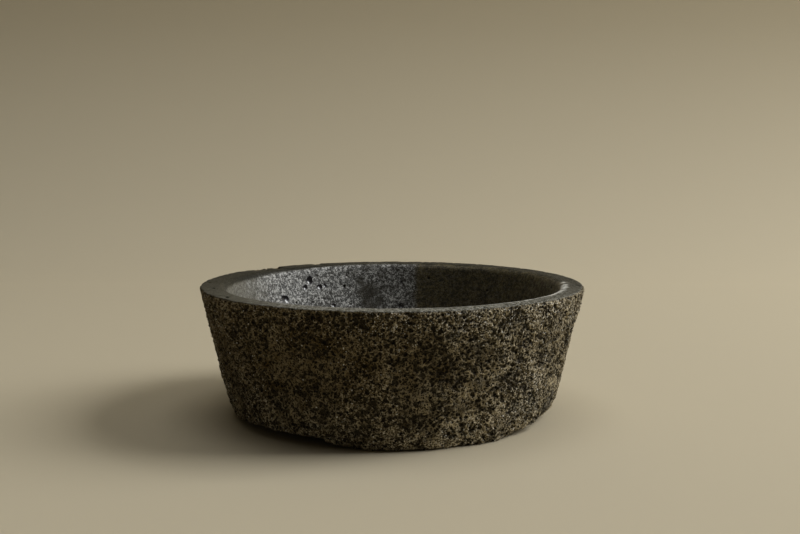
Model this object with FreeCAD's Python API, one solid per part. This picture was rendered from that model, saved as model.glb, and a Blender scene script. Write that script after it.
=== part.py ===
import FreeCAD, Part
import math
import os

# A wide, shallow mortar bowl carved from one block of vesicular basalt.
# Millimetres. +Z is up, and the front of the bowl faces -Y.
# The origin lies on the ground, under the middle of the rim.

# Driving dimensions
RIM_DIAMETER = 220.0         # outside diameter of the ground rim, the widest part, before its edge is broken
HEIGHT = 74.0                # from the ground to the flat rim
RIM_WIDTH = 15.7             # from the outer edge to the mouth, inner lip included
FLOOR_THICKNESS = 20.0       # stone left under the middle of the floor
WALL_TAPER = 16.7            # how far the wall draws in from the rim to the ground
WALL_BULGE = 0.5             # how far the wall swells at half height
FOOT_TUCK = 2.2              # extra draw-in right at the ground
FOOT_TUCK_HEIGHT = 6.0       # height over which that draw-in fades
INNER_TAPER = 0.28           # sideways run of the inner wall for each unit of height
LIP_RADIUS = 5.0             # worn rounding of the inner lip
BASIN_RADIUS = 35.0          # curve from the inner wall into the floor
DISH_RADIUS = 420.0          # very shallow dish of the floor
RIM_EDGE_RADIUS = 1.0        # broken outer edge of the rim
BASE_EDGE_RADIUS = 1.5       # broken edge of the underside

RIM_RADIUS = RIM_DIAMETER / 2
MOUTH_RADIUS = RIM_RADIUS - RIM_WIDTH

# Dressing strokes on the outer wall. Each one is a shallow upright hollow left by the chisel:
# compass angle at half height, lean in degrees of angle from ground to rim, half width in
# degrees, and depth. Angle 0 points along +X, and -90 is the front.
STROKES = [
    (-161.0, 6.0, 12.0, 0.7),
    (-133.0, -5.0, 13.0, 0.6),
    (-103.0, 5.0, 12.0, 0.6),
    (-67.0, 2.0, 9.0, 0.8),
    (-56.0, 19.0, 10.0, 0.9),
    (-34.0, 20.0, 17.0, 1.3),
    (-4.0, 8.0, 12.0, 0.7),
    (21.0, -6.0, 12.0, 0.7),
    (49.0, 5.0, 13.0, 0.9),
    (82.0, -7.0, 12.0, 0.7),
    (112.0, 6.0, 13.0, 0.9),
    (146.0, -5.0, 12.0, 0.8),
    (174.0, 4.0, 11.0, 0.5),
]
STROKE_FADE = 7.0            # height below the rim over which the strokes die out

# Flat spalls on the underside's edge, where the stone doesn't reach the ground:
# compass angle, radius where the spall starts, and its slope in degrees.
SPALLS = [
    (-134.0, 75.0, 15.5),
    (-18.0, 76.5, 18.0),
    (74.0, 84.0, 24.0),
    (158.0, 82.0, 20.0),
]

SECTION_HEIGHTS = [0.0, 2.5, 6.0, 12.0, 22.0, 34.0, 46.0, 58.0, 68.0, HEIGHT]
SECTION_POINTS = 90          # points round each section of the wall
FLATNESS = 0.01              # how level an edge has to be to count as part of the rim or underside
ABOVE = 10.0                 # how far the tool that hollows the basin reaches above the rim
WEDGE_LENGTH = 60.0          # reach of the wedge that a spall takes away
WEDGE_DROP = 30.0            # how far that wedge reaches below the ground


def angle_gap(a, b):
    """Smallest signed difference between two compass angles, in degrees."""
    return (a - b + 180.0) % 360.0 - 180.0


def stroke_depth(angle, height):
    """How deep the dressing strokes cut the wall at one place."""
    fade = min(1.0, (HEIGHT - height) / STROKE_FADE)
    depth = 0.0
    for centre, lean, half_width, deepest in STROKES:
        middle = centre + lean * (height / HEIGHT - 0.5)
        reach = angle_gap(angle, middle) / half_width
        if abs(reach) < 1.0:
            depth += deepest * math.cos(reach * math.pi / 2) ** 2
    return depth * fade


def wall_radius(angle, height):
    """Outside radius of the wall at one compass angle and height."""
    up = height / HEIGHT
    straight = RIM_RADIUS - WALL_TAPER * (1.0 - up)
    swell = WALL_BULGE * math.sin(math.pi * up)
    tuck = FOOT_TUCK * math.exp(-height / FOOT_TUCK_HEIGHT) * (1.0 - up)
    return straight + swell - tuck - stroke_depth(angle, height)


def wall_section(height):
    """Closed smooth outline of the wall at one height."""
    points = []
    for i in range(SECTION_POINTS):
        angle = 360.0 * i / SECTION_POINTS
        radius = wall_radius(angle, height)
        turn = math.radians(angle)
        points.append(FreeCAD.Vector(radius * math.cos(turn), radius * math.sin(turn), height))
    outline = Part.BSplineCurve()
    turns = [i / SECTION_POINTS for i in range(SECTION_POINTS + 1)]
    outline.interpolate(Points=points, PeriodicFlag=True, Parameters=turns)
    return Part.Wire([outline.toShape()])


def outer_block():
    """The dressed block before it is hollowed: the wall, with a flat top and underside."""
    sections = [wall_section(height) for height in SECTION_HEIGHTS]
    return Part.makeLoft(sections, True, False)


def basin():
    """Everything inside the bowl, as a solid of revolution that reaches above the rim."""
    slope = math.atan(INNER_TAPER)
    lip_centre_r = MOUTH_RADIUS + LIP_RADIUS
    lip_centre_z = HEIGHT - LIP_RADIUS
    lip_top = FreeCAD.Vector(lip_centre_r, 0, HEIGHT)
    lip_turn = math.radians(135.0)
    lip_middle = FreeCAD.Vector(
        lip_centre_r + LIP_RADIUS * math.cos(lip_turn),
        0,
        lip_centre_z + LIP_RADIUS * math.sin(lip_turn),
    )
    wall_top = FreeCAD.Vector(
        lip_centre_r - LIP_RADIUS * math.cos(slope),
        0,
        lip_centre_z + LIP_RADIUS * math.sin(slope),
    )

    # The basin curve touches the wall line and the dished floor.
    dish_centre_z = FLOOR_THICKNESS + DISH_RADIUS
    reach = DISH_RADIUS - BASIN_RADIUS
    curve_centre = basin_curve_centre(wall_top, slope, dish_centre_z, reach)
    wall_foot = FreeCAD.Vector(
        curve_centre.x + BASIN_RADIUS * math.cos(slope),
        0,
        curve_centre.z - BASIN_RADIUS * math.sin(slope),
    )
    dish_turn = math.atan2(curve_centre.z - dish_centre_z, curve_centre.x)
    dish_edge = FreeCAD.Vector(
        curve_centre.x + BASIN_RADIUS * math.cos(dish_turn),
        0,
        curve_centre.z + BASIN_RADIUS * math.sin(dish_turn),
    )
    middle_turn = (dish_turn - slope) / 2
    curve_middle = FreeCAD.Vector(
        curve_centre.x + BASIN_RADIUS * math.cos(middle_turn),
        0,
        curve_centre.z + BASIN_RADIUS * math.sin(middle_turn),
    )
    half_turn = (dish_turn - math.pi / 2) / 2
    dish_middle = FreeCAD.Vector(
        DISH_RADIUS * math.cos(half_turn),
        0,
        dish_centre_z + DISH_RADIUS * math.sin(half_turn),
    )
    floor_middle = FreeCAD.Vector(0, 0, FLOOR_THICKNESS)

    axis_top = FreeCAD.Vector(0, 0, HEIGHT + ABOVE)
    mouth_top = FreeCAD.Vector(lip_centre_r, 0, HEIGHT + ABOVE)
    edges = [
        Part.makeLine(axis_top, mouth_top),
        Part.makeLine(mouth_top, lip_top),
        Part.Arc(lip_top, lip_middle, wall_top).toShape(),
        Part.makeLine(wall_top, wall_foot),
        Part.Arc(wall_foot, curve_middle, dish_edge).toShape(),
        Part.Arc(dish_edge, dish_middle, floor_middle).toShape(),
        Part.makeLine(floor_middle, axis_top),
    ]
    half = Part.Face(Part.Wire(edges))
    return half.revolve(FreeCAD.Vector(0, 0, 0), FreeCAD.Vector(0, 0, 1), 360)


def basin_curve_centre(wall_top, slope, dish_centre_z, reach):
    """Centre of the curve that touches the inner wall and the dished floor."""
    # Centres that touch the wall line lie on a line parallel to it, one basin radius inside.
    start_x = wall_top.x - BASIN_RADIUS * math.cos(slope)
    start_z = wall_top.z + BASIN_RADIUS * math.sin(slope)
    down_x = -math.sin(slope)
    down_z = -math.cos(slope)
    # Walk along that line to the point that is `reach` away from the dish's centre.
    off_x = start_x
    off_z = start_z - dish_centre_z
    along = off_x * down_x + off_z * down_z
    square = off_x * off_x + off_z * off_z - reach * reach
    distance = -along + math.sqrt(along * along - square)
    return FreeCAD.Vector(start_x + down_x * distance, 0, start_z + down_z * distance)


def spall(angle, start_radius, slope):
    """Wedge of missing stone under the edge of the underside."""
    end_radius = start_radius + WEDGE_LENGTH
    rise = WEDGE_LENGTH * math.tan(math.radians(slope))
    corners = [
        FreeCAD.Vector(start_radius, -RIM_RADIUS, 0),
        FreeCAD.Vector(end_radius, -RIM_RADIUS, rise),
        FreeCAD.Vector(end_radius, -RIM_RADIUS, -WEDGE_DROP),
        FreeCAD.Vector(start_radius, -RIM_RADIUS, -WEDGE_DROP),
    ]
    side = Part.Face(Part.makePolygon(corners + corners[:1]))
    wedge = side.extrude(FreeCAD.Vector(0, RIM_DIAMETER, 0))
    wedge.rotate(FreeCAD.Vector(0, 0, 0), FreeCAD.Vector(0, 0, 1), angle)
    return wedge


def level_edges(shape, height):
    """Edges that lie level at one height."""
    found = []
    for edge in shape.Edges:
        box = edge.BoundBox
        if abs(box.ZMin - height) < FLATNESS and abs(box.ZMax - height) < FLATNESS:
            found.append(edge)
    return found


def bowl():
    """The whole molcajete: one solid."""
    stone = outer_block()
    stone = stone.makeFillet(RIM_EDGE_RADIUS, level_edges(stone, HEIGHT))
    stone = stone.makeFillet(BASE_EDGE_RADIUS, level_edges(stone, 0.0))
    stone = stone.cut(basin())
    for angle, start_radius, slope in SPALLS:
        stone = stone.cut(spall(angle, start_radius, slope))
    (whole,) = stone.Solids
    return whole


os.makedirs("parts", exist_ok=True)
shape = bowl()
print("bowl valid:", shape.isValid(), "volume:", round(shape.Volume), "cubic mm")
shape.exportStep("parts/bowl.step")
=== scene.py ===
import math
import bpy
import numpy as np
import openvdb
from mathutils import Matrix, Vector


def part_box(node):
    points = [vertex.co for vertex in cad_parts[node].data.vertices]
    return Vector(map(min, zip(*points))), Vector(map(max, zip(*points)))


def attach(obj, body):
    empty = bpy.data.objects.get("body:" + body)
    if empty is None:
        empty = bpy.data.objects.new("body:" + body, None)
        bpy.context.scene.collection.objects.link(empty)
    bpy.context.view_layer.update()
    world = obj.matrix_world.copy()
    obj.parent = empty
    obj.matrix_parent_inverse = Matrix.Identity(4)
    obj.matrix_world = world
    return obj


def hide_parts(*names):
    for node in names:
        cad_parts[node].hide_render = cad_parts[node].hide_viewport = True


# A molcajete bowl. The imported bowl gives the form, and this script carves its stone.
# Blender objects are in metres. The stone is carved in millimetres and scaled at the end.

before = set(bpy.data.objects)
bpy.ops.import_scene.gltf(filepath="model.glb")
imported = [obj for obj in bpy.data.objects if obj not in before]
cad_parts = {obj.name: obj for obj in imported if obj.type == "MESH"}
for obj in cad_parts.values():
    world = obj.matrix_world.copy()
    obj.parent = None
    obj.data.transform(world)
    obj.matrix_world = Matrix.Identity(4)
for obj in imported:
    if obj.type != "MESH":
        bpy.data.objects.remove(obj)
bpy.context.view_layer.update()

MM = 0.001
GRAIN = 0.45                 # size of a carving voxel
BAND = 6                     # voxels kept each side of the surface
ADAPTIVITY = 0.03            # how readily faces join where the stone is smooth
SEED = 41
FAR = 9.0                    # a distance well outside the carving band, in millimetres

# The form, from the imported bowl
LOW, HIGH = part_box("bowl")
HEIGHT = HIGH.z / MM
RIM_RADIUS = (HIGH.x - LOW.x) / 2 / MM

MOUTH_RADIUS = 0.86 * RIM_RADIUS
FOOT_RADIUS = 0.85 * RIM_RADIUS
FLOOR_HEIGHT = 0.27 * HEIGHT
WALL = RIM_RADIUS - MOUTH_RADIUS
WALL_LEAN = math.atan2(RIM_RADIUS - FOOT_RADIUS, HEIGHT)
LIP_DEPTH = 4.0              # how far down the worn lip reaches
BASIN_TAPER = 0.28           # how far the basin narrows for each millimetre of depth

# The flat layout of the skin, in millimetres
CHART_SIDE = 4.2 * RIM_RADIUS
CHART_GAP = 2.0
STRIP_RADIUS = 0.94 * RIM_RADIUS
STRIP_TURN = 120.0           # degrees of the wall in each strip
UNDER_REACH = RIM_RADIUS - 13.0
BASIN_SPREAD = 0.75          # how far each millimetre up the basin spreads its disc


# ---------------------------------------------------------------- noise and masks

def smooth_step(value, low, high):
    """0 below low, 1 above high, and an S curve between."""
    part = np.clip((value - low) / (high - low), 0.0, 1.0)
    return part * part * (3.0 - 2.0 * part)


def blend_corners(part, value_at):
    """Blends the values at the eight corners of each point's cell, by which part of the cell it is in."""
    total = np.zeros(len(part), np.float32)
    for dx in (0, 1):
        weight_x = part[:, 0] if dx else 1.0 - part[:, 0]
        for dy in (0, 1):
            weight_y = part[:, 1] if dy else 1.0 - part[:, 1]
            for dz in (0, 1):
                weight_z = part[:, 2] if dz else 1.0 - part[:, 2]
                total += weight_x * weight_y * weight_z * value_at(dx, dy, dz)
    return total


def soft_noise(points, wavelength, seed, stretch=(1.0, 1.0, 1.0)):
    """A smooth random field between -1 and 1 at each point, from a repeating random lattice."""
    side = 64
    lattice = np.random.default_rng(seed).uniform(-1.0, 1.0, (side, side, side)).astype(np.float32)
    cells = points / (np.array(stretch, np.float32) * wavelength) + 1000.0
    corner = np.floor(cells).astype(np.int32)
    part = (cells - corner).astype(np.float32)

    def value_at(dx, dy, dz):
        at = (corner + (dx, dy, dz)) % side
        return lattice[at[:, 0], at[:, 1], at[:, 2]]

    return blend_corners(part * part * (3.0 - 2.0 * part), value_at)


def radius_of(points):
    """Distance of each point from the bowl's axis."""
    return np.hypot(points[:, 0], points[:, 1])


def compass(points):
    """Compass angle of each point in degrees: 0 is +X and -90 is the front."""
    return np.degrees(np.arctan2(points[:, 1], points[:, 0]))


def wall_middle(height):
    """Radius halfway through the wall at each height."""
    outside = FOOT_RADIUS + (RIM_RADIUS - FOOT_RADIUS) * height / HEIGHT
    return outside - WALL / 2


def inside_bowl(points):
    """True at points on the basin's side of the wall and floor."""
    return (points[:, 2] > FLOOR_HEIGHT / 2) & (radius_of(points) < wall_middle(points[:, 2]))


def below_rim(points, start, end):
    """On the outside and the underside, 0 from the rim down to start, and 1 from end on. In the basin, 0."""
    share = smooth_step(HEIGHT - points[:, 2], start, end)
    return np.where(inside_bowl(points), 0.0, share).astype(np.float32)


def at_angle(angle, radius, height):
    """A place in millimetres from a compass angle in degrees: 0 is +X and -90 is the front."""
    turn = math.radians(angle)
    return np.array((radius * math.cos(turn), radius * math.sin(turn), height))


# ---------------------------------------------------------------- carving

class Stone:
    """Signed distances in millimetres on a voxel grid: negative inside the stone."""

    def __init__(self, node):
        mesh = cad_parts[node].data
        mesh.calc_loop_triangles()
        points = np.empty(len(mesh.vertices) * 3, np.float32)
        mesh.vertices.foreach_get("co", points)
        triangles = np.empty(len(mesh.loop_triangles) * 3, np.int32)
        mesh.loop_triangles.foreach_get("vertices", triangles)
        grid = openvdb.FloatGrid.createLevelSetFromPolygons(
            points.reshape(-1, 3) / MM,
            triangles=triangles.reshape(-1, 3),
            transform=openvdb.createLinearTransform(voxelSize=GRAIN),
            halfWidth=BAND,
        )
        low, high = grid.evalActiveVoxelBoundingBox()
        self.first = np.array(low)
        self.distance = np.zeros(np.array(high) - self.first + 1, np.float32)
        grid.copyToArray(self.distance, ijk=tuple(low))
        self.form = self.distance.copy()

    def places(self, deepest, shallowest, highest_place=HEIGHT + 2.0):
        """Index of each voxel whose depth is in a range, up to a height, and its place."""
        part = self.distance[:, :, :int(highest_place / GRAIN) - self.first[2] + 1]
        index = np.nonzero((part > -deepest) & (part < shallowest))
        return index, (np.stack(index, 1) + self.first).astype(np.float32) * GRAIN

    def outside_places(self, deepest, shallowest):
        """The same without the basin."""
        index, places = self.places(deepest, shallowest)
        outside = ~inside_bowl(places)
        return tuple(axis[outside] for axis in index), places[outside]

    def trim(self, index, beyond):
        """Takes away what lies beyond a surface, from how far beyond it each voxel is."""
        self.distance[index] = np.maximum(self.distance[index], beyond)

    def take(self, centre, radius):
        """Takes away a round bubble of stone."""
        reach = int(radius / GRAIN) + 2
        middle = np.rint(centre / GRAIN).astype(int) - self.first
        low = np.maximum(middle - reach, 0)
        high = np.minimum(middle + reach + 1, self.distance.shape)
        if (high <= low).any():
            return
        x, y, z = [(np.arange(low[i], high[i]) + self.first[i]) * GRAIN - centre[i] for i in range(3)]
        away = np.sqrt(x[:, None, None] ** 2 + y[None, :, None] ** 2 + z[None, None, :] ** 2)
        part = self.distance[low[0]:high[0], low[1]:high[1], low[2]:high[2]]
        np.maximum(part, radius - away, out=part)

    def sample(self, values, points):
        """A grid's value at each point, blended between voxels."""
        cells = (points / GRAIN - self.first).astype(np.float32)
        corner = np.clip(np.floor(cells).astype(np.int32), 0, np.array(values.shape) - 2)

        def value_at(dx, dy, dz):
            return values[corner[:, 0] + dx, corner[:, 1] + dy, corner[:, 2] + dz]

        return blend_corners(cells - corner, value_at)


def chisel(stone):
    """Roughens the outside of the wall and the underside, and breaks the rim's outer edge with them."""
    index, places = stone.outside_places(2.4, 0.7)
    relief = (
        0.36 * soft_noise(places, 16.0, SEED, (1.0, 1.0, 1.7))
        + 0.18 * soft_noise(places, 6.5, SEED + 1)
        + 0.30 * soft_noise(places, 3.1, SEED + 2)
        + 0.48 * soft_noise(places, 1.6, SEED + 3)
    )
    depth = 0.15 + 0.45 * below_rim(places, 0.0, 16.0) + relief
    edge = smooth_step(radius_of(places), RIM_RADIUS - 1.8, RIM_RADIUS - 0.3)
    share = np.maximum(below_rim(places, 0.1, 1.2), 0.5 * edge)
    stone.distance[index] += np.clip(depth, 0.0, 1.8) * share


def facet(places, angle, yaw, depth, lean=WALL_LEAN, up=0.5):
    """How far each place stands out of a flat on the outside of the wall, at a share of the way up."""
    middle = at_angle(angle, FOOT_RADIUS + (RIM_RADIUS - FOOT_RADIUS) * up, HEIGHT * up)
    turn = math.radians(angle + yaw)
    out = np.array((math.cos(turn) * math.cos(lean), math.sin(turn) * math.cos(lean), -math.sin(lean)))
    return (places - middle) @ out + depth


def dress(stone):
    """Facets all round the wall, and two lower ones that draw the foot in at the right."""
    index, places = stone.outside_places(2.6, 1.0)
    beyond = np.full(len(places), -FAR)
    for angle, yaw, depth in (
        (-150.0, -2.0, 0.4), (-128.0, 3.0, 0.5), (-106.0, -2.0, 0.3), (-84.0, 3.0, 0.5), (-62.0, -4.0, 0.9),
        (-34.0, 4.0, 1.1), (-8.0, -3.0, 0.6), (20.0, 3.0, 0.5), (46.0, -3.0, 0.6), (74.0, 3.0, 0.5),
        (100.0, -3.0, 0.6), (126.0, 3.0, 0.4), (153.0, -3.0, 0.6), (180.0, 3.0, 0.5),
    ):
        beyond = np.maximum(beyond, facet(places, angle, yaw, depth))
    beyond -= 3.0 * smooth_step(places[:, 2], HEIGHT - 26.0, HEIGHT - 3.0)
    for angle, depth in ((-24.0, 0.6), (-4.0, 0.3)):
        beyond = np.maximum(beyond, facet(places, angle, 0.0, depth, lean=1.65 * WALL_LEAN, up=0.30))
    stone.trim(index, beyond)


def lift_foot(stone):
    """Breaks the foot's edge away from the ground at the front left, with a sharp end to the break."""
    index, places = stone.places(5.0, 1.0, highest_place=6.0)
    angle = compass(places)
    along = smooth_step(angle, -150.0, -138.0) * (1.0 - smooth_step(angle, -112.5, -110.0))
    lift = 0.36 * np.maximum(radius_of(places) - 78.0, 0.0) * along
    lift += 0.5 * soft_noise(places, 3.5, SEED + 11) * along
    stone.trim(index, np.where(along > 0.0, lift - places[:, 2], -FAR))


def wear_rim(stone):
    """Wears the rim's top: two low places at the back left, and slight hollows all round."""
    index, places = stone.places(1.5, 1.0)
    angle = compass(places)
    dip = 0.42 * smooth_step(angle, 132.8, 134.0) * (1.0 - smooth_step(angle, 142.0, 152.0))
    dip += 0.50 * smooth_step(angle, 116.4, 117.4) * (1.0 - smooth_step(angle, 118.6, 120.2))
    dip += 0.30 * np.maximum(soft_noise(places, 5.0, SEED + 17), 0.0)
    dip += 0.22 * np.maximum(soft_noise(places, 2.2, SEED + 18), 0.0)
    on_top = places[:, 2] > HEIGHT - 2.0
    stone.trim(index, np.where(on_top, places[:, 2] - (HEIGHT - dip), -FAR))


def round_rim(stone):
    """Rounds the rim's outer edge, most of all at the right."""
    index, places = stone.places(2.6, 1.0)
    angle = compass(places)
    radius = 1.1 + 1.9 * smooth_step(-np.abs(angle + 15.0), -85.0, -35.0)
    past_side = np.maximum(radius_of(places) - (RIM_RADIUS - radius), 0.0)
    past_top = np.maximum(places[:, 2] - (HEIGHT - radius), 0.0)
    at_edge = (past_side > 0.0) & (past_top > 0.0)
    beyond = np.where(at_edge, np.hypot(past_side, past_top) - radius, -FAR)
    stone.trim(index, beyond)


def scatter_bubbles(stone, count, radii, spread, wanted, seed):
    """Opens round gas bubbles near the surface. Their radii are the smallest, the usual and the largest."""
    random = np.random.default_rng(seed)
    index, places = stone.places(spread, spread * 0.6)
    share = wanted(places)
    places = places[random.random(len(places)) < share]
    chosen = random.choice(len(places), min(count, len(places)), replace=False)
    smallest, usual, largest = radii
    sizes = np.clip(usual * np.exp(0.35 * random.standard_normal(len(chosen))), smallest, largest)
    centres = places[chosen] + random.uniform(-0.5, 0.5, (len(chosen), 3)) * GRAIN
    for centre, size in zip(centres, sizes):
        stone.take(centre, size)


def outside_share(places):
    """Where bubbles open on the outside: nearly everywhere, in loose clusters."""
    clusters = 0.6 + 0.55 * soft_noise(places, 11.0, SEED + 5)
    on_outside = ~inside_bowl(places) & (places[:, 2] < HEIGHT - 1.0)
    return clusters * on_outside


def ground_share(places):
    """Where bubbles open on the ground faces: the basin more than the rim."""
    clusters = smooth_step(soft_noise(places, 16.0, SEED + 6), -0.4, 0.9)
    basin = inside_bowl(places) & (places[:, 2] < HEIGHT - LIP_DEPTH)
    rim = ~inside_bowl(places) & (places[:, 2] > HEIGHT - 0.5)
    return clusters * np.where(basin, 1.0, np.where(rim, 0.5, 0.0))


def vesicle(stone, angle, height, size, tall=1.0, lean=0.0):
    """Opens one large gas bubble in the basin's wall: a shallow dish, or a short row of them."""
    wall = MOUTH_RADIUS - BASIN_TAPER * max(HEIGHT - LIP_DEPTH - height, 0.0)
    radius = 2.2 * size
    steps = 1 + 2 * int(round(2.0 * (tall - 1.0)))
    for i in range(steps):
        along = (i - (steps - 1) / 2) * size * 0.55
        stone.take(at_angle(angle + lean * along, wall - 0.85 * radius, height + along), radius)


def large_vesicles(stone):
    """The few large glassy bubbles that the grinding opened in the basin's wall."""
    vesicle(stone, 125.3, 67.4, 1.55, tall=2.0, lean=-0.3)
    vesicle(stone, 127.9, 62.4, 1.25, tall=1.5, lean=-0.5)
    vesicle(stone, 121.4, 61.8, 1.70)
    vesicle(stone, 119.0, 62.0, 1.20)
    vesicle(stone, 138.8, 56.5, 2.20)
    vesicle(stone, 139.9, 57.2, 1.60)
    vesicle(stone, 116.0, 49.2, 1.30)
    vesicle(stone, 86.8, 48.1, 1.50)
    vesicle(stone, 86.8, 62.8, 0.95)
    vesicle(stone, 151.1, 71.6, 0.80)


def rim_nicks(stone):
    """Chips out of the rim's outer edge: a few large ones, mostly at the back left, and many small ones."""
    random = np.random.default_rng(SEED + 9)
    for angle in (133.6, 150.2, 160.8, 20.0, -150.0):
        size = random.uniform(1.2, 2.0)
        above = random.uniform(0.0, 0.3) * size
        stone.take(at_angle(angle, RIM_RADIUS + 0.3 * size, HEIGHT + above), size)
    for angle in random.uniform(-180.0, 180.0, 150):
        size = random.uniform(0.45, 1.0)
        inward = random.uniform(-0.3, 0.5)
        down = random.uniform(0.2, 1.2)
        stone.take(at_angle(angle, RIM_RADIUS - inward, HEIGHT - down), size)


# ---------------------------------------------------------------- mesh

def joined_faces(triangles, quads):
    """Corner list and face sizes for triangles and quads together."""
    corners = np.concatenate([triangles.ravel(), quads.ravel()])
    sizes = np.concatenate([np.full(len(triangles), 3), np.full(len(quads), 4)])
    return corners.astype(np.int32), sizes.astype(np.int32)


def main_island(count, triangles, quads):
    """Faces that belong to the largest connected piece, so that no crumb of stone floats free."""
    label = np.arange(count)
    edges = np.concatenate(
        [triangles[:, [0, 1]], triangles[:, [1, 2]], quads[:, [0, 1]], quads[:, [1, 2]], quads[:, [2, 3]]]
    ).astype(np.int64)
    while True:
        lowest = np.minimum(label[edges[:, 0]], label[edges[:, 1]])
        joined = label.copy()
        np.minimum.at(joined, edges[:, 0], lowest)
        np.minimum.at(joined, edges[:, 1], lowest)
        np.minimum.at(joined, label, joined)
        joined = joined[joined]
        if (joined == label).all():
            break
        label = joined
    names, counts = np.unique(label, return_counts=True)
    kept = label == names[counts.argmax()]
    return kept, triangles[kept[triangles[:, 0]]], quads[kept[quads[:, 0]]]


def skin(stone):
    """The stone's surface as points in millimetres, triangles and quads."""
    grid = openvdb.FloatGrid()
    grid.copyFromArray(stone.distance, ijk=tuple(int(i) for i in stone.first))
    grid.transform = openvdb.createLinearTransform(voxelSize=GRAIN)
    points, triangles, quads = grid.convertToPolygons(isovalue=0.0, adaptivity=ADAPTIVITY)
    kept, triangles, quads = main_island(len(points), triangles, quads)
    number = np.cumsum(kept) - 1
    return points[kept], number[triangles][:, ::-1], number[quads][:, ::-1]


def mesh_from(name, points, triangles, quads):
    """A smooth-shaded Blender object, in metres."""
    corners, sizes = joined_faces(triangles, quads)
    mesh = bpy.data.meshes.new(name)
    mesh.vertices.add(len(points))
    mesh.vertices.foreach_set("co", (points * MM).astype(np.float32).ravel())
    mesh.loops.add(len(corners))
    mesh.loops.foreach_set("vertex_index", corners)
    mesh.polygons.add(len(sizes))
    starts = np.concatenate([[0], np.cumsum(sizes)[:-1]]).astype(np.int32)
    mesh.polygons.foreach_set("loop_start", starts)
    mesh.polygons.foreach_set("loop_total", sizes)
    mesh.update(calc_edges=True)
    mesh.validate()
    mesh.shade_smooth()
    piece = bpy.data.objects.new(name, mesh)
    bpy.context.scene.collection.objects.link(piece)
    return piece


def strip_places(along, height, strip):
    """Flat places in the strips of the wall: two upright ones on the right, and one along the top left."""
    upright = strip < 2
    left = CHART_SIDE - (2 - strip) * (HEIGHT + CHART_GAP)
    top = CHART_SIDE - HEIGHT - 2 * CHART_GAP
    across = np.where(upright, left + HEIGHT - height, along + CHART_GAP)
    up = np.where(upright, along + CHART_GAP, top + height)
    return across, up


def lay_flat(mesh, points):
    """Lays the skin out flat for the texture: two discs and three strips, nearly to one scale."""
    corners = np.empty(len(mesh.loops), np.int32)
    mesh.loops.foreach_get("vertex_index", corners)
    centres = np.empty(len(mesh.polygons) * 3, np.float32)
    mesh.polygons.foreach_get("center", centres)
    centres = centres.reshape(-1, 3) / MM
    sizes = np.empty(len(mesh.polygons), np.int32)
    mesh.polygons.foreach_get("loop_total", sizes)

    height = centres[:, 2]
    from_wall = FOOT_RADIUS + (RIM_RADIUS - FOOT_RADIUS) * height / HEIGHT - radius_of(centres)
    is_top = inside_bowl(centres) | (HEIGHT - height < np.minimum(from_wall, height))
    is_under = ~is_top & (height < from_wall)
    strip = np.clip((compass(centres) + 180.0) // STRIP_TURN, 0, 2)

    is_top, is_under, strip = [np.repeat(values, sizes) for values in (is_top, is_under, strip)]
    places = points[corners]
    x, y, height = places.T
    radius = radius_of(places)
    spread = (radius + BASIN_SPREAD * (height - FLOOR_HEIGHT)) / np.maximum(radius, 1.0)
    top_middle = RIM_RADIUS + BASIN_SPREAD * (HEIGHT - FLOOR_HEIGHT) + CHART_GAP
    under_middle = CHART_SIDE - UNDER_REACH
    turn = (compass(places) + STRIP_TURN - STRIP_TURN * strip + 180.0) % 360.0 - 180.0
    along = np.radians(turn + STRIP_TURN / 2) * STRIP_RADIUS
    wall_across, wall_up = strip_places(along, height, strip)
    across = np.where(is_top, top_middle + x * spread, np.where(is_under, under_middle - x, wall_across))
    up = np.where(is_top, top_middle + y * spread, np.where(is_under, under_middle + y, wall_up))
    layout = mesh.uv_layers.new(name="OFBake", do_init=False)
    layout.data.foreach_set("uv", (np.stack([across, up], 1) / CHART_SIDE).astype(np.float32).ravel())


# ---------------------------------------------------------------- what the material reads

def store(mesh, name, values):
    """Keeps one number at each point of a mesh, for its material to read."""
    layer = mesh.attributes.new(name, "FLOAT", "POINT")
    layer.data.foreach_set("value", values.astype(np.float32))


def rough_share(points):
    """Where the stone is rough: below the rim's edge, but not in the low places of its ground top."""
    near_edge = smooth_step(radius_of(points), RIM_RADIUS - 4.0, RIM_RADIUS - 2.0)
    below_top = smooth_step(HEIGHT - points[:, 2], 1.2, 1.8)
    return below_rim(points, 0.15, 0.9) * np.maximum(near_edge, below_top)


def painted_lip_highlight_share(points):
    """Painted highlight: pale streaks on the inner lip at the right, where its edge catches the light."""
    angle = compass(points) + 3.0 * soft_noise(points, 5.0, SEED + 14)
    along = smooth_step(angle, -70.0, -45.0) * (1.0 - smooth_step(angle, -1.0, 4.0))
    broad = smooth_step(angle, -34.0, -14.0)
    middle = MOUTH_RADIUS + 4.6 - 1.2 * broad + 0.6 * soft_noise(points, 4.0, SEED + 20)
    from_middle = np.abs(radius_of(points) - middle) / (1.0 + 1.6 * broad)
    across = smooth_step(HEIGHT - points[:, 2], 4.0, 1.6) * smooth_step(from_middle, 1.0, 0.4)
    streaks = smooth_step(soft_noise(points, 2.2, SEED + 15), -0.6, 0.0)
    return along * across * streaks


def up_wall(points):
    """0 on the basin's floor and 1 on its wall. The stains of the wall fade out towards the floor."""
    return smooth_step(radius_of(points), 64.0, 85.0)


def basin_share(points):
    """1 in the basin and 0 elsewhere. The rim's finish reaches over the lip at the left."""
    turn = compass(points) % 360.0
    lip = 2.2 * smooth_step(turn, 98.0, 168.0) * (1.0 - smooth_step(turn, 225.0, 250.0))
    drop = HEIGHT - points[:, 2] + 0.5 * soft_noise(points, 5.0, SEED + 25)
    return smooth_step(drop, 0.1 + lip, 0.9 + 1.6 * lip) * inside_bowl(points)


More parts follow.
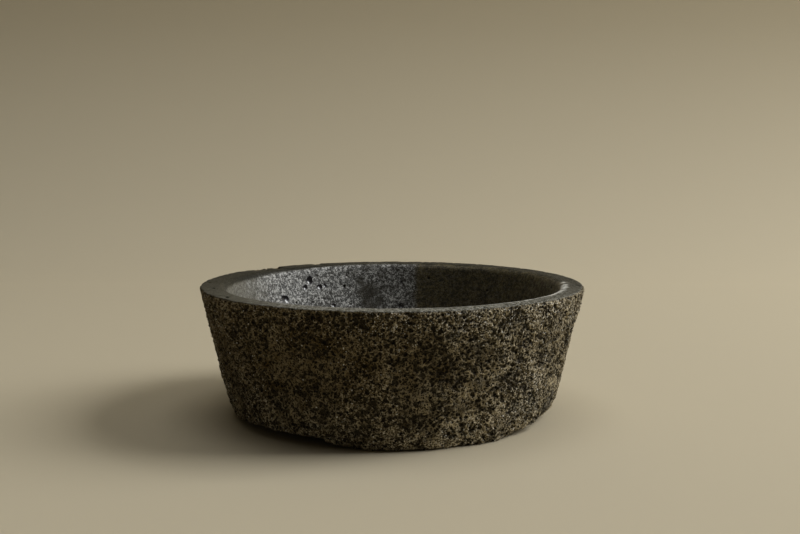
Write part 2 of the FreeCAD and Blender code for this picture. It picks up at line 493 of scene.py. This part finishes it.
def brown_share(points):
    """Where the basin is stained brown: the right and the front, up to a sharp edge at the back."""
    ragged = 1.0 * soft_noise(points, 9.0, SEED + 12) + 0.6 * soft_noise(points, 3.5, SEED + 13)
    turn = (compass(points) + ragged) % 360.0
    on_wall = 1.0 - smooth_step(turn, 79.5, 83.0) * (1.0 - smooth_step(turn, 215.0, 290.0))
    on_floor = 0.45 + 0.35 * soft_noise(points, 22.0, SEED + 26)
    return on_floor + (on_wall - on_floor) * up_wall(points)


def pale_share(points):
    """How pale the stone is at each point, from 0 where it is dark to 1 where it is palest. It is partly
    wear and dust, and partly painted light: on the outside's lit side, low down, and in the basin where the
    light falls off.
    """
    angle = compass(points)
    ragged = 7.0 * soft_noise(points, 9.0, SEED + 12) + 4.0 * soft_noise(points, 3.5, SEED + 13)
    drop = HEIGHT - points[:, 2]

    # the outside is palest on its lit side, which is painted light, and low down, with dust and with painted
    # light that makes up for the shade near the foot; the rim is palest at the front
    painted_lit_side = smooth_step(-np.abs(angle + ragged + 18.0), -80.0, -40.0)
    wall = 0.15 + 0.58 * smooth_step(drop, 30.0, 65.0) + 0.95 * painted_lit_side
    rim = 0.04 + 0.98 * (0.5 + 0.5 * np.cos(np.radians(angle + 84.0))) ** 3

    # the basin's wall, from the right to the left end: dark, mottled, a dark patch, then pale
    turn = (angle + 0.5 * ragged) % 360.0
    first_edge = turn + 0.17 * drop
    mottled = 1.0 + 0.80 * soft_noise(points, 4.5, SEED + 23) + 0.50 * soft_noise(points, 2.0, SEED + 24)
    # painted light: the mottled zone grows paler towards its right end, to make up for the light falling off
    # there
    back = (0.54 + 0.28 * smooth_step(-turn, -100.0, -84.0)) * mottled
    basin = 0.06 + back * smooth_step((angle + 0.15 * ragged) % 360.0, 79.5, 83.0)
    basin += (0.94 - back) * smooth_step(first_edge, 105.5, 110.0)
    basin -= 0.45 * smooth_step(-np.abs(first_edge - 105.0), -4.5, -1.5) * smooth_step(drop, 6.0, 13.0)
    basin = np.maximum(basin, 0.0) * (1.0 - smooth_step(turn, 215.0, 290.0))

    # the basin's floor, which the photo hides
    floor = 0.48 + 0.26 * soft_noise(points, 24.0, SEED + 27) + 0.14 * soft_noise(points, 8.0, SEED + 28)
    basin = floor + (basin - floor) * up_wall(points)
    inside = rim + (basin - rim) * basin_share(points)
    outside = rim + (wall - rim) * smooth_step(drop, 0.1, 0.8)
    return np.where(inside_bowl(points), inside, outside)


def polish_and_square_light_share(points):
    """How far the basin is rubbed smooth: its wall at the left end, and partly the floor. At the left end it
    also stands for light falling square on, where the painted shade and highlights of the speckle are left
    out.
    """
    turn = (compass(points) + 8.0 * soft_noise(points, 5.0, SEED + 16)) % 360.0
    on_wall = smooth_step(turn, 140.0, 168.0) * smooth_step(-turn, -240.0, -220.0)
    return 0.45 + (on_wall - 0.45) * up_wall(points)


def fresh_and_glint_share(points):
    """Where painted glints gather and the outside is paler: a band below the rim at the front and front
    right, where the light catches the pores, and, half as strong, newly broken stone along the foot at the
    front left.
    """
    angle = compass(points) + 5.0 * soft_noise(points, 7.0, SEED + 21)
    drop = HEIGHT - points[:, 2] + 2.0 * soft_noise(points, 6.0, SEED + 22)
    along = smooth_step(angle, -108.0, -90.0) * (1.0 - smooth_step(angle, -48.0, -26.0))
    down = smooth_step(drop, 0.3, 1.5) * (1.0 - smooth_step(drop, 7.0, 14.0))
    along_foot = smooth_step(angle, -152.0, -140.0) * (1.0 - smooth_step(angle, -118.0, -108.0))
    at_foot = 0.5 * along_foot * smooth_step(drop, HEIGHT - 9.0, HEIGHT - 5.0)
    return along * down + at_foot


def carve_bowl():
    """The bowl's stone: formed, chiselled, bubbled, and meshed with what its material reads.

    Cut, pit and glass: the skin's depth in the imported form, the dressed stone and the bubbled stone.
    """
    stone = Stone("bowl")
    dress(stone)
    lift_foot(stone)
    wear_rim(stone)
    round_rim(stone)
    chisel(stone)
    dressed = stone.distance.copy()
    scatter_bubbles(stone, 60000, (0.36, 0.54, 1.3), 0.42, outside_share, SEED + 7)
    scatter_bubbles(stone, 300, (0.4, 0.6, 1.1), 0.4, ground_share, SEED + 8)
    rim_nicks(stone)
    bubbled = stone.distance.copy()
    large_vesicles(stone)
    points, triangles, quads = skin(stone)
    piece = mesh_from("stone_bowl", points, triangles, quads)
    lay_flat(piece.data, points)
    for name, before in (("cut", stone.form), ("pit", dressed), ("glass", bubbled)):
        depth = np.maximum(-stone.sample(before, points), 0.0)
        store(piece.data, name, depth)
    for name, share in (
        ("rough", rough_share), ("pale", pale_share), ("painted_lip_highlight", painted_lip_highlight_share), ("polish_and_square_light", polish_and_square_light_share),
        ("fresh_and_glint", fresh_and_glint_share), ("basin", basin_share), ("brown", brown_share),
    ):
        store(piece.data, name, share(points))
    return piece


# ---------------------------------------------------------------- materials

# The rough outside
WARM_STONE = (0.088, 0.055, 0.009, 1.0)
DARK_STONE = (0.060, 0.044, 0.018, 1.0)
COOL_STONE = (0.125, 0.132, 0.126, 1.0)
# Partly painted light: the dust colour is partly painted light, the pale grain and the white crystal specks
# partly painted highlights, and the dark grain partly and the pore colour wholly painted shade.
DUST_AND_PAINTED_LIGHT = (0.62, 0.53, 0.35, 1.0)
PALE_GRAIN_AND_HIGHLIGHT = (0.86, 0.79, 0.63, 1.0)
DARK_GRAIN_AND_SHADE = (0.018, 0.014, 0.008, 1.0)
PORE_SHADE = (0.009, 0.007, 0.004, 1.0)
CRYSTAL_AND_GLINT = (0.90, 0.90, 0.86, 1.0)

# The ground rim and basin
DARK_RIM = (0.016, 0.015, 0.010, 1.0)
PALE_RIM = (0.165, 0.162, 0.126, 1.0)
DARK_BASIN = (0.038, 0.033, 0.021, 1.0)
PALE_BASIN = (0.165, 0.167, 0.158, 1.0)
POLISHED_BASIN = (0.155, 0.148, 0.118, 1.0)
DARK_STAIN = (0.050, 0.037, 0.009, 1.0)
PALE_STAIN = (0.112, 0.088, 0.030, 1.0)
# Partly painted light: the pale flecks are partly painted highlight, the hollow and fine pore colours are
# painted shade, and the pale lip colour is a painted highlight.
FLECK_AND_HIGHLIGHT = (0.55, 0.55, 0.52, 1.0)
HOLLOW_SHADE = (0.020, 0.018, 0.012, 1.0)
FINE_PORE_SHADE = (0.012, 0.011, 0.008, 1.0)
PAINTED_LIP_HIGHLIGHT = (0.62, 0.62, 0.57, 1.0)

# The carved bubbles. The colour in their depths is painted shade, with some dirt.
PORE_SHADE_AND_DIRT = (0.013, 0.010, 0.005, 1.0)
GLASS = (0.012, 0.012, 0.013, 1.0)


class Nodes:
    """Short ways to add shader nodes to one material."""

    def __init__(self, name):
        self.material = bpy.data.materials.new(name)
        self.material.use_nodes = True
        self.tree = self.material.node_tree
        self.shader = self.tree.nodes["Principled BSDF"]

    def put(self, value, socket):
        """Links a socket into another, or sets a plain value."""
        if isinstance(value, bpy.types.NodeSocket):
            self.tree.links.new(value, socket)
        else:
            socket.default_value = value

    def attribute(self, name):
        """A number stored at each point of the mesh."""
        node = self.tree.nodes.new("ShaderNodeAttribute")
        node.attribute_name = name
        return node.outputs["Fac"]

    def millimetres(self):
        """The place on the object, in millimetres."""
        place = self.tree.nodes.new("ShaderNodeTexCoord")
        scale = self.tree.nodes.new("ShaderNodeVectorMath")
        scale.operation = "SCALE"
        self.put(place.outputs["Object"], scale.inputs[0])
        scale.inputs["Scale"].default_value = 1.0 / MM
        return scale.outputs["Vector"]

    def stretched(self, place, factors):
        """A place with each axis scaled, so that what is drawn at it stretches where a factor is small."""
        node = self.tree.nodes.new("ShaderNodeVectorMath")
        node.operation = "MULTIPLY"
        self.put(place, node.inputs[0])
        node.inputs[1].default_value = factors
        return node.outputs["Vector"]

    def noise(self, place, size, detail, roughness, distortion=0.0):
        """Noise from 0 to 1 with features of about one size in millimetres."""
        node = self.tree.nodes.new("ShaderNodeTexNoise")
        self.put(place, node.inputs["Vector"])
        node.inputs["Scale"].default_value = 1.0 / size
        node.inputs["Detail"].default_value = detail
        node.inputs["Roughness"].default_value = roughness
        node.inputs["Distortion"].default_value = distortion
        return node.outputs["Fac"]

    def cells(self, place, size):
        """Distance to the nearest of many scattered spots, in cells."""
        node = self.tree.nodes.new("ShaderNodeTexVoronoi")
        self.put(place, node.inputs["Vector"])
        node.inputs["Scale"].default_value = 1.0 / size
        return node.outputs["Distance"]

    def specks(self, place, size, share):
        """1 inside small spots at random places, one in each cell that a share of the cells holds."""
        node = self.tree.nodes.new("ShaderNodeTexVoronoi")
        self.put(place, node.inputs["Vector"])
        node.inputs["Scale"].default_value = 1.0 / size
        parts = self.tree.nodes.new("ShaderNodeSeparateColor")
        self.put(node.outputs["Color"], parts.inputs["Color"])
        chosen = self.math("LESS_THAN", parts.outputs["Red"], share)
        return self.times(chosen, self.ramp(node.outputs["Distance"], 0.34, 0.20))

    def ramp(self, value, low, high, start=0.0, end=1.0):
        """A smooth change from start to end as value goes from low to high."""
        node = self.tree.nodes.new("ShaderNodeMapRange")
        node.interpolation_type = "SMOOTHSTEP"
        self.put(value, node.inputs["Value"])
        node.inputs["From Min"].default_value = low
        node.inputs["From Max"].default_value = high
        node.inputs["To Min"].default_value = start
        node.inputs["To Max"].default_value = end
        return node.outputs["Result"]

    def math(self, operation, a, b):
        """One arithmetic step on two numbers."""
        node = self.tree.nodes.new("ShaderNodeMath")
        node.operation = operation
        self.put(a, node.inputs[0])
        self.put(b, node.inputs[1])
        return node.outputs["Value"]

    def times(self, a, b):
        """Multiplies two numbers."""
        return self.math("MULTIPLY", a, b)

    def larger(self, a, b):
        """The larger of two numbers."""
        return self.math("MAXIMUM", a, b)

    def sum(self, *values):
        """Adds numbers."""
        total = values[0]
        for value in values[1:]:
            total = self.math("ADD", total, value)
        return total

    def mix(self, share, a, b):
        """A colour between a and b."""
        node = self.tree.nodes.new("ShaderNodeMix")
        node.data_type = "RGBA"
        node.clamp_factor = True
        self.put(share, node.inputs["Factor"])
        self.put(a, node.inputs[6])
        self.put(b, node.inputs[7])
        return node.outputs[2]

    def blend(self, share, a, b):
        """A number between a and b."""
        node = self.tree.nodes.new("ShaderNodeMix")
        node.data_type = "FLOAT"
        node.clamp_factor = True
        self.put(share, node.inputs["Factor"])
        self.put(a, node.inputs[2])
        self.put(b, node.inputs[3])
        return node.outputs[0]

    def bump(self, height, distance):
        """Fine relief of up to a distance in millimetres."""
        node = self.tree.nodes.new("ShaderNodeBump")
        node.inputs["Distance"].default_value = distance * MM
        node.inputs["Strength"].default_value = 1.0
        self.put(height, node.inputs["Height"])
        return node.outputs["Normal"]


def outside_look(nodes, place):
    """Dusty ridges over dark stone, with open pores: its colour, roughness, gloss and fine relief. The
    colour holds painted light too: highlights on the ridges and white glints, and shade in the pores and the
    low grain.
    """
    cut = nodes.attribute("cut")
    pale = nodes.attribute("pale")
    fresh_and_glint = nodes.attribute("fresh_and_glint")
    blotch = nodes.noise(place, 13.0, 3.0, 0.6, 0.6)
    mottle = nodes.noise(place, 4.2, 4.0, 0.65, 0.4)
    grain = nodes.noise(place, 0.85, 2.0, 0.6)
    small_pores = nodes.ramp(nodes.cells(place, 1.25), 0.36, 0.24)
    large_pores = nodes.ramp(nodes.cells(place, 2.6), 0.30, 0.20)
    pores = nodes.larger(small_pores, large_pores)
    # Painted highlight: white specks, with some gloss, stand in for glints off crystal grains on proud
    # places, in the band below the front rim and at the broken foot.
    glints = nodes.times(nodes.specks(place, 1.3, 0.07), nodes.ramp(cut, 1.6, 0.9))
    crystals_and_glints = nodes.times(nodes.specks(place, 1.15, 0.58), fresh_and_glint)
    sparkle = nodes.larger(glints, crystals_and_glints)

    # Painted light, with dust: the pale attribute holds the lit side, so the dust, the cool patches and the
    # pale grain show most where the light falls.
    strength = nodes.larger(nodes.ramp(pale, 0.0, 1.4, 0.34, 1.04), nodes.times(fresh_and_glint, 0.45))
    tone = nodes.sum(nodes.times(blotch, 0.62), nodes.times(mottle, 0.38))
    tone = nodes.times(nodes.ramp(tone, 0.30, 0.70), strength)
    colour = nodes.mix(pale, WARM_STONE, DARK_STONE)
    colour = nodes.mix(tone, colour, DUST_AND_PAINTED_LIGHT)
    cool = nodes.ramp(nodes.noise(place, 14.0, 2.0, 0.5, 1.0), 0.54, 0.66, 0.0, 0.32)
    colour = nodes.mix(nodes.times(cool, nodes.ramp(pale, 0.2, 0.9)), colour, COOL_STONE)
    # Pale grain on proud places: partly pale grain from wear and partly a painted highlight on the ridges.
    proud = nodes.times(nodes.ramp(cut, 1.3, 0.2), strength)
    colour = nodes.mix(nodes.times(proud, nodes.ramp(grain, 0.53, 0.62)), colour, PALE_GRAIN_AND_HIGHLIGHT)
    # Dark grain where the fine relief is low: partly dark grains and partly painted shade in the relief's
    # recesses.
    colour = nodes.mix(nodes.ramp(grain, 0.47, 0.40, 0.0, 0.85), colour, DARK_GRAIN_AND_SHADE)
    # Painted shade in the small pores that the mesh does not carve, which the bump also dents.
    colour = nodes.mix(nodes.times(pores, 0.95), colour, PORE_SHADE)
    colour = nodes.mix(sparkle, colour, CRYSTAL_AND_GLINT)

    roughness = nodes.ramp(grain, 0.3, 0.7, 0.85, 0.50)
    gloss = nodes.larger(sparkle, 0.15)
    relief = nodes.sum(nodes.times(mottle, 0.3), nodes.times(grain, 1.6), nodes.times(pores, -0.8))
    return colour, roughness, gloss, relief


def ground_look(nodes, place):
    """Ground stone, with fine pores and pale grains: its colour, roughness, gloss and fine relief. The
    colour holds painted light too: shade in the small recesses and pores, and highlights in the flecks and
    on the right inner lip.
    """
    basin = nodes.attribute("basin")
    pale = nodes.attribute("pale")
    polish_and_square_light = nodes.attribute("polish_and_square_light")
    grainy = nodes.ramp(polish_and_square_light, 0.0, 1.0, 1.0, 0.25)
    fine = nodes.noise(place, 0.75, 2.0, 0.6)
    coarse = nodes.noise(place, 2.0, 2.0, 0.6)
    speck = nodes.sum(nodes.times(fine, 0.52), nodes.times(coarse, 0.48))
    pores = nodes.ramp(nodes.cells(place, 1.3), 0.30, 0.20)
    # Paler patches, from the pale attribute, which in the basin includes painted light where the light falls
    # off.
    pale_patches = nodes.times(pale, nodes.ramp(nodes.noise(place, 9.0, 3.0, 0.6), 0.32, 0.62, 0.55))

    rim_tone = nodes.mix(pale_patches, DARK_RIM, PALE_RIM)
    streaks = nodes.noise(nodes.stretched(place, (0.4, 0.4, 1.0)), 2.4, 3.0, 0.6)
    stained = nodes.mix(nodes.ramp(streaks, 0.38, 0.62), DARK_STAIN, PALE_STAIN)
    dark_tone = nodes.mix(nodes.attribute("brown"), DARK_BASIN, stained)
    pale_tone = nodes.mix(polish_and_square_light, PALE_BASIN, POLISHED_BASIN)
    colour = nodes.mix(basin, rim_tone, nodes.mix(pale_patches, dark_tone, pale_tone))
    # Pale flecks: partly pale grains and partly painted highlight on the fine relief.
    rim_flecks = nodes.ramp(pale, 0.0, 1.0, 0.02, 0.55)
    basin_flecks = nodes.ramp(pale, 0.0, 1.0, 0.10, 0.95)
    flecks = nodes.times(nodes.blend(basin, rim_flecks, basin_flecks), grainy)
    flecks = nodes.times(flecks, nodes.ramp(speck, 0.51, 0.57))
    colour = nodes.mix(flecks, colour, FLECK_AND_HIGHLIGHT)
    # Painted shade in the small recesses of the ground stone.
    hollows = nodes.times(nodes.ramp(speck, 0.48, 0.42, 0.0, 0.92), grainy)
    colour = nodes.mix(hollows, colour, HOLLOW_SHADE)
    # Painted shade in the fine pores, which the bump also dents.
    hole_shade = nodes.times(nodes.times(pores, nodes.blend(basin, 0.55, 0.90)), grainy)
    colour = nodes.mix(hole_shade, colour, FINE_PORE_SHADE)
    # Painted highlight on the inner lip at the right.
    colour = nodes.mix(nodes.attribute("painted_lip_highlight"), colour, PAINTED_LIP_HIGHLIGHT)

    roughness = nodes.ramp(speck, 0.3, 0.7, 0.58, 0.40)
    gloss = nodes.blend(basin, 0.12, 0.35)
    relief = nodes.times(nodes.sum(nodes.times(speck, 0.6), nodes.times(pores, -0.7)), 0.6)
    return colour, roughness, gloss, relief


def basalt():
    """Dark vesicular basalt: rough and brown outside, ground grey on the rim and in the basin."""
    nodes = Nodes("basalt")
    place = nodes.millimetres()
    outside_colour, outside_roughness, outside_gloss, outside_relief = outside_look(nodes, place)
    ground_colour, ground_roughness, ground_gloss, ground_relief = ground_look(nodes, place)
    rough = nodes.attribute("rough")
    glass = nodes.ramp(nodes.attribute("glass"), 0.03, 0.16)
    # Painted shade, with some dirt: carved pores darken with their depth below the dressed stone.
    shadowed = nodes.ramp(nodes.attribute("pit"), 0.20, 0.8, 0.0, 0.78)
    colour = nodes.mix(shadowed, nodes.mix(rough, ground_colour, outside_colour), PORE_SHADE_AND_DIRT)
    roughness = nodes.blend(rough, ground_roughness, outside_roughness)
    gloss = nodes.blend(rough, ground_gloss, outside_gloss)
    relief = nodes.blend(rough, ground_relief, outside_relief)
    nodes.put(nodes.mix(glass, colour, GLASS), nodes.shader.inputs["Base Color"])
    nodes.put(nodes.blend(glass, roughness, 0.24), nodes.shader.inputs["Roughness"])
    nodes.put(nodes.blend(glass, gloss, 1.0), nodes.shader.inputs["Specular IOR Level"])
    nodes.put(nodes.bump(nodes.blend(glass, relief, 0.0), 0.8), nodes.shader.inputs["Normal"])
    return nodes.material


def plain(name, colour, roughness):
    """A plain matt finish for the floor."""
    nodes = Nodes(name)
    nodes.put((*colour, 1.0), nodes.shader.inputs["Base Color"])
    nodes.put(roughness, nodes.shader.inputs["Roughness"])
    return nodes.material


# ---------------------------------------------------------------- stage, camera and light

def floor_and_backdrop():
    """A pale floor that curves up behind the bowl."""
    half_width = 2.5
    front = -2.0
    bend_start = 0.55
    bend_radius = 0.35
    bend_steps = 16
    top = 2.2
    profile = [(front, 0.0), (bend_start, 0.0)]
    for i in range(1, bend_steps + 1):
        turn = math.pi / 2 * i / bend_steps
        profile.append((bend_start + bend_radius * math.sin(turn), bend_radius * (1.0 - math.cos(turn))))
    profile.append((bend_start + bend_radius, top))
    points = [(side * half_width, y, z) for y, z in profile for side in (-1, 1)]
    faces = [(2 * i, 2 * i + 1, 2 * i + 3, 2 * i + 2) for i in range(len(profile) - 1)]
    mesh = bpy.data.meshes.new("backdrop")
    mesh.from_pydata(points, [], faces)
    mesh.shade_smooth()
    mesh.materials.append(plain("pale_floor", (0.56, 0.495, 0.355), 0.9))
    backdrop = bpy.data.objects.new("backdrop", mesh)
    bpy.context.scene.collection.objects.link(backdrop)


def camera():
    """The low front view, from a little above the rim and tipped down a little."""
    data = bpy.data.cameras.new("camera")
    data.lens = 49.5
    data.sensor_width = 36.0
    view = bpy.data.objects.new("camera", data)
    view.location = (0.0042, -0.629, 0.1558)
    view.rotation_euler = (math.radians(90.0 - 6.62), 0.0, 0.0)
    bpy.context.scene.collection.objects.link(view)
    bpy.context.scene.camera = view


def area_light(name, angle, elevation, distance, size, power, colour):
    """A square soft light aimed at the bowl, from a compass angle and a height in degrees."""
    data = bpy.data.lights.new(name, "AREA")
    data.size = size
    data.energy = power
    data.color = colour
    turn, rise = math.radians(angle), math.radians(elevation)
    away = Vector((math.cos(turn) * math.cos(rise), math.sin(turn) * math.cos(rise), math.sin(rise)))
    lamp = bpy.data.objects.new(name, data)
    lamp.location = away * distance
    lamp.rotation_euler = away.to_track_quat("Z", "Y").to_euler()
    bpy.context.scene.collection.objects.link(lamp)


def lights():
    """A key from the right and a little behind, a weak light overhead, and a warm fill from all round."""
    area_light("key", 8.0, 38.0, 3.5, 2.0, 116.0, (1.0, 1.0, 1.0))
    area_light("overhead", 90.0, 88.0, 2.5, 1.6, 13.0, (1.0, 1.0, 1.0))
    world = bpy.data.worlds.new("fill")
    world.use_nodes = True
    world.node_tree.nodes["Background"].inputs["Color"].default_value = (1.0, 0.88, 0.68, 1.0)
    world.node_tree.nodes["Background"].inputs["Strength"].default_value = 0.04
    bpy.context.scene.world = world
    bpy.context.scene.view_settings.view_transform = "Standard"


camera()
bowl = carve_bowl()
bowl.data.materials.append(basalt())
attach(bowl, "root")
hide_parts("bowl")
floor_and_backdrop()
lights()
